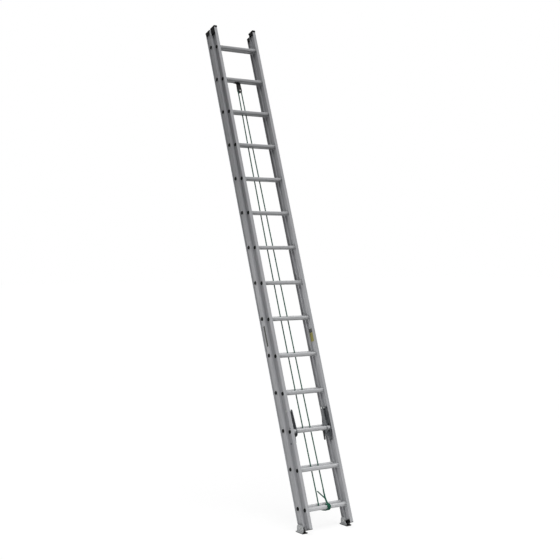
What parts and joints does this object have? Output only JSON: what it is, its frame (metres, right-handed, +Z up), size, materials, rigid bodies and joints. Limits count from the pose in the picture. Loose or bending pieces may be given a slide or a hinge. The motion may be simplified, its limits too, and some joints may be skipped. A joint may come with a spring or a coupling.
{
  "type": "extension ladder",
  "caption": "Two-section aluminium extension ladder leaning at its working slope: sliding fly, rung locks, rope and pulley, swivelling shoes.",
  "frame": {"origin": "on the floor, midway below the two shoe pivots", "axes": "+X across the ladder to the climber's right, +Y from the climber towards the wall, +Z up; the rails lean back from +Z towards +Y"},
  "size_m": [0.471, 1.5419, 4.1032],
  "materials": {
    "rail_aluminium": "mill finish, faint extrusion lines",
    "rung_aluminium": "mill finish, fluted tread",
    "cap_plastic": "moulded, satin",
    "pad_rubber": "matt",
    "shoe_metal": "satin",
    "lock_paint": "semi-gloss enamel",
    "finger_plastic": "satin",
    "pulley_paint": "satin enamel",
    "sheave_plastic": "satin",
    "rope_fibre": "laid fibre rope",
    "steel_hardware": "zinc plated"
  },
  "bodies": {
    "base": {"base_left_rail": "rail_aluminium", "base_right_rail": "rail_aluminium", "base_rung_01": "rung_aluminium", "base_rung_02": "rung_aluminium", "base_rung_03": "rung_aluminium", "base_rung_04": "rung_aluminium", "base_rung_05": "rung_aluminium", "base_rung_06": "rung_aluminium", "base_rung_07": "rung_aluminium", "base_rung_08": "rung_aluminium", "base_rung_09": "rung_aluminium", "base_rung_10": "rung_aluminium", "base_rung_11": "rung_aluminium", "base_rung_12": "rung_aluminium", "base_rung_13": "rung_aluminium", "base_rung_14": "rung_aluminium", "base_left_top_cap": "cap_plastic", "base_right_top_cap": "cap_plastic", "shoe_bolts": "steel_hardware", "pulley_bracket": "pulley_paint", "pulley_axle": "steel_hardware", "haul_rope": "rope_fibre"},
    "fly": {"fly_left_rail": "rail_aluminium", "fly_right_rail": "rail_aluminium", "fly_rung_01": "rung_aluminium", "fly_rung_02": "rung_aluminium", "fly_rung_03": "rung_aluminium", "fly_rung_04": "rung_aluminium", "fly_rung_05": "rung_aluminium", "fly_rung_06": "rung_aluminium", "fly_rung_07": "rung_aluminium", "fly_rung_08": "rung_aluminium", "fly_rung_09": "rung_aluminium", "fly_rung_10": "rung_aluminium", "fly_rung_11": "rung_aluminium", "fly_rung_12": "rung_aluminium", "fly_rung_13": "rung_aluminium", "fly_rung_14": "rung_aluminium", "fly_left_top_cap": "cap_plastic", "fly_right_top_cap": "cap_plastic", "fly_left_end_plug": "cap_plastic", "fly_right_end_plug": "cap_plastic", "left_lock_bracket": "lock_paint", "right_lock_bracket": "lock_paint", "lock_pivot_bolts": "steel_hardware", "lock_rivets": "steel_hardware", "lock_finger_pins": "steel_hardware", "rope_knot": "rope_fibre", "lock_finger_springs": "steel_hardware"},
    "left_shoe_body": {"left_shoe": "shoe_metal", "left_shoe_pad": "pad_rubber"},
    "left_pawl_body": {"left_lock_pawl": "lock_paint", "left_lock_spring": "steel_hardware"},
    "left_finger_body": {"left_lock_finger": "finger_plastic"},
    "right_shoe_body": {"right_shoe": "shoe_metal", "right_shoe_pad": "pad_rubber"},
    "right_pawl_body": {"right_lock_pawl": "lock_paint", "right_lock_spring": "steel_hardware"},
    "right_finger_body": {"right_lock_finger": "finger_plastic"},
    "sheave_body": {"pulley_sheave": "sheave_plastic"}
  },
  "joints": [
    {"name": "fly_slide", "type": "slide", "parent": "base", "child": "fly", "axis": [0, 0.3305, 0.9438], "range_m": [0, 3.3528], "deforming": ["haul_rope"]},
    {"name": "left_shoe_swivel", "type": "hinge", "parent": "base", "child": "left_shoe_body", "pos_m": [-0.2115, 0, 0.038], "axis": [1, 0, 0], "range_deg": [-18, 40]},
    {"name": "left_pawl_swing", "type": "hinge", "parent": "fly", "child": "left_pawl_body", "pos_m": [-0.17, 0.23441, 0.90309], "axis": [1, 0, 0], "range_deg": [0, 10], "stiffness_Nm_per_rad": 0.05, "springref_deg": 10},
    {"name": "left_finger_swing", "type": "hinge", "parent": "fly", "child": "left_finger_body", "pos_m": [-0.145, 0.20237, 0.72994], "axis": [1, 0, 0], "range_deg": [0, 80], "stiffness_Nm_per_rad": 0.05},
    {"name": "right_shoe_swivel", "type": "hinge", "parent": "base", "child": "right_shoe_body", "pos_m": [0.2115, 0, 0.038], "axis": [1, 0, 0], "range_deg": [-18, 40]},
    {"name": "right_pawl_swing", "type": "hinge", "parent": "fly", "child": "right_pawl_body", "pos_m": [0.17, 0.23441, 0.90309], "axis": [1, 0, 0], "range_deg": [0, 10], "stiffness_Nm_per_rad": 0.05, "springref_deg": 10},
    {"name": "right_finger_swing", "type": "hinge", "parent": "fly", "child": "right_finger_body", "pos_m": [0.145, 0.20237, 0.72994], "axis": [1, 0, 0], "range_deg": [0, 80], "stiffness_Nm_per_rad": 0.05},
    {"name": "sheave_spin", "type": "hinge", "parent": "base", "child": "sheave_body", "pos_m": [-0.03, 1.19092, 3.53766], "axis": [0, 0.9438, -0.3305], "continuous": true}
  ],
  "couplings": [
    {"joint": "sheave_spin", "follows": "fly_slide", "rad_per_m": -65.359}
  ]
}
